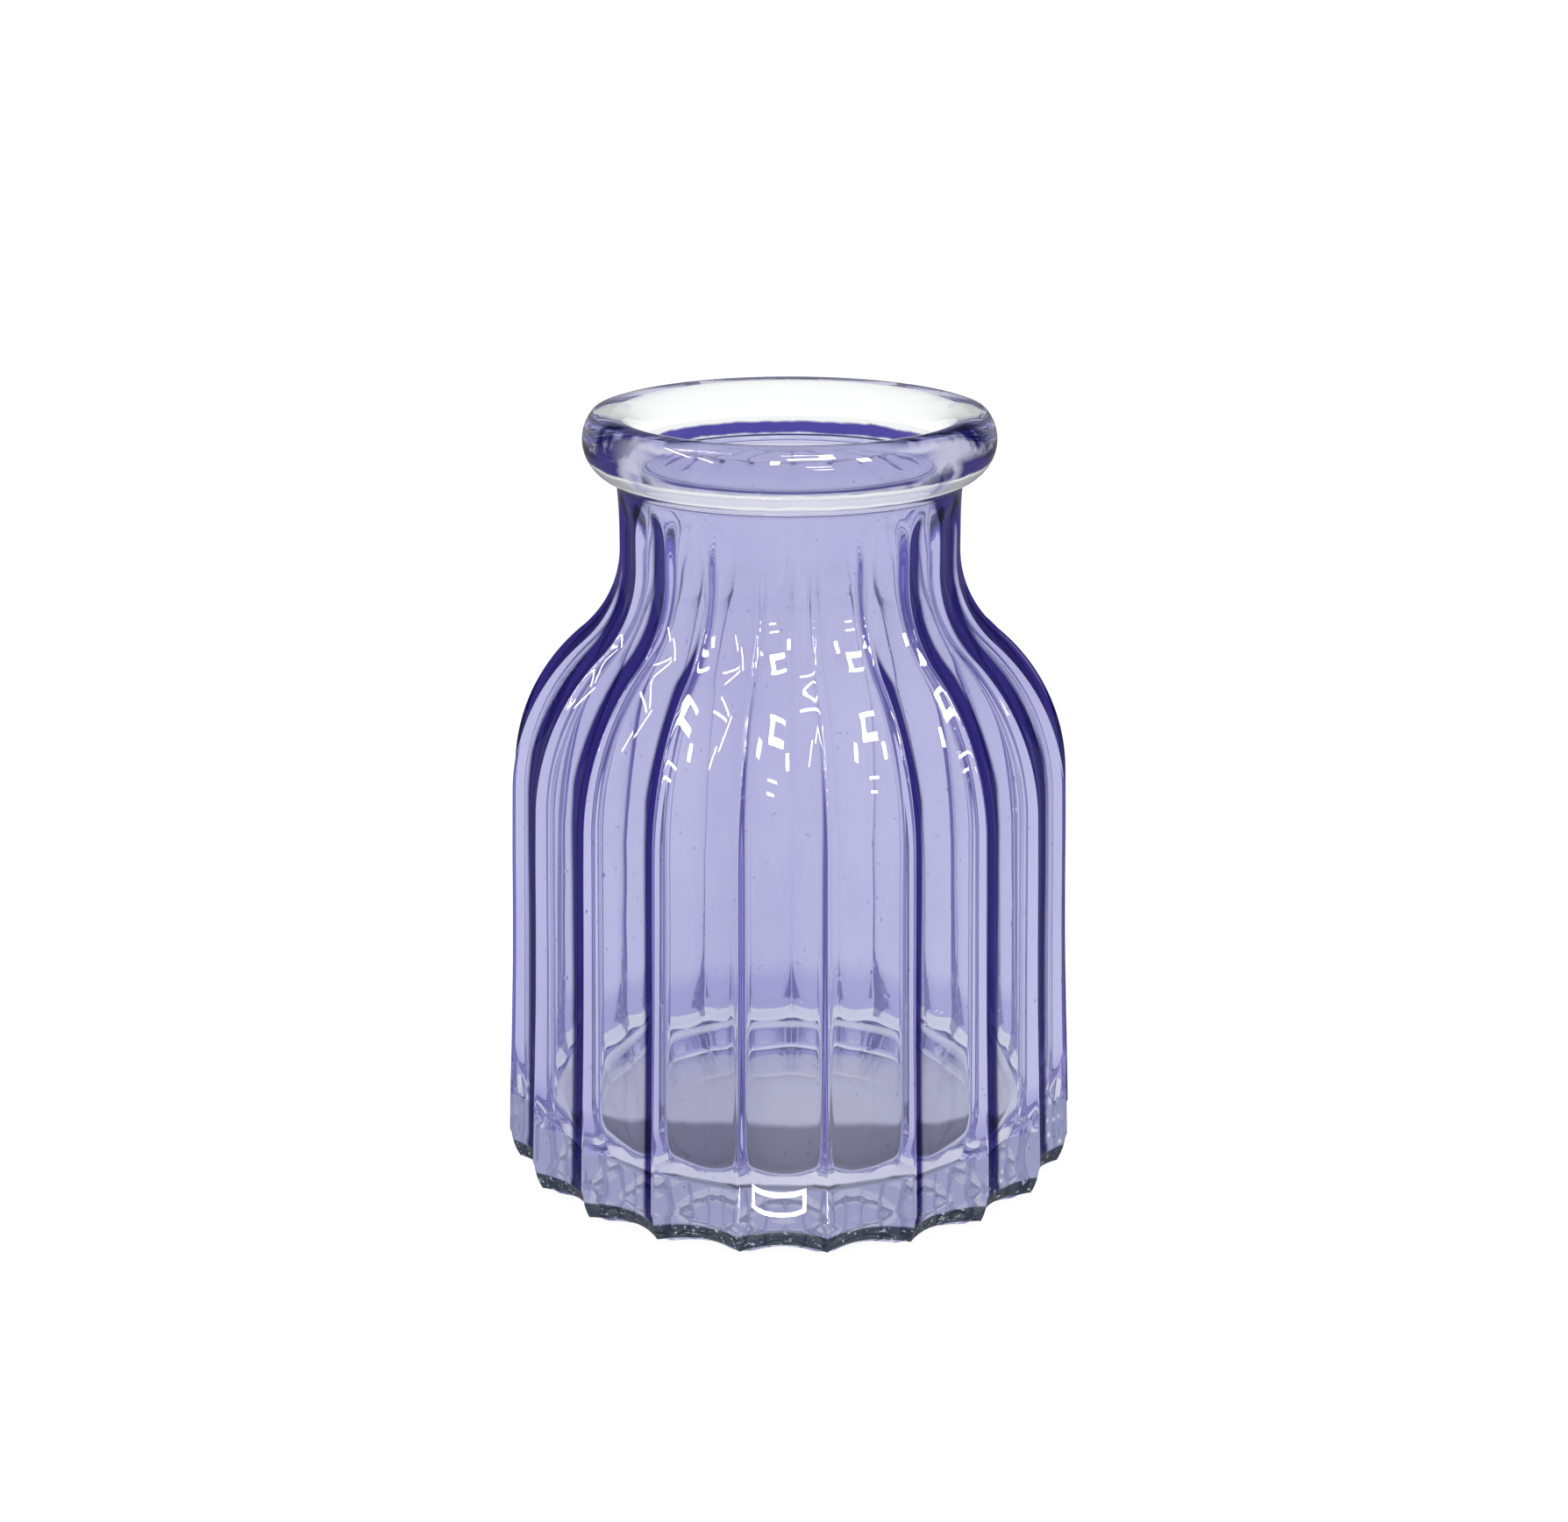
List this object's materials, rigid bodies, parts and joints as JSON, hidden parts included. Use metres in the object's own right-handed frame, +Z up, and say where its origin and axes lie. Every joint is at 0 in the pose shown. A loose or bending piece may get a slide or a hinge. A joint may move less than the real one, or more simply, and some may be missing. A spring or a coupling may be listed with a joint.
{
  "type": "glass bud vase",
  "caption": "Small bottle-shaped glass vase with a fluted body, a narrow neck and a rolled rim, coloured by a transparent sprayed coat on the outside.",
  "frame": {"origin": "centre of the foot, on the plane that the vase stands on", "axes": "+Z up along the vase's axis from the foot to the mouth; -Y towards the side shown as the front"},
  "size_m": [0.0801, 0.0799, 0.1052],
  "materials": {
    "clear_glass": "clear moulded glass, polished",
    "violet_lacquer": "transparent violet lacquer, glossy"
  },
  "bodies": {
    "root": {"glass_vessel": "clear_glass", "colour_coat": "violet_lacquer"}
  },
  "joints": []
}
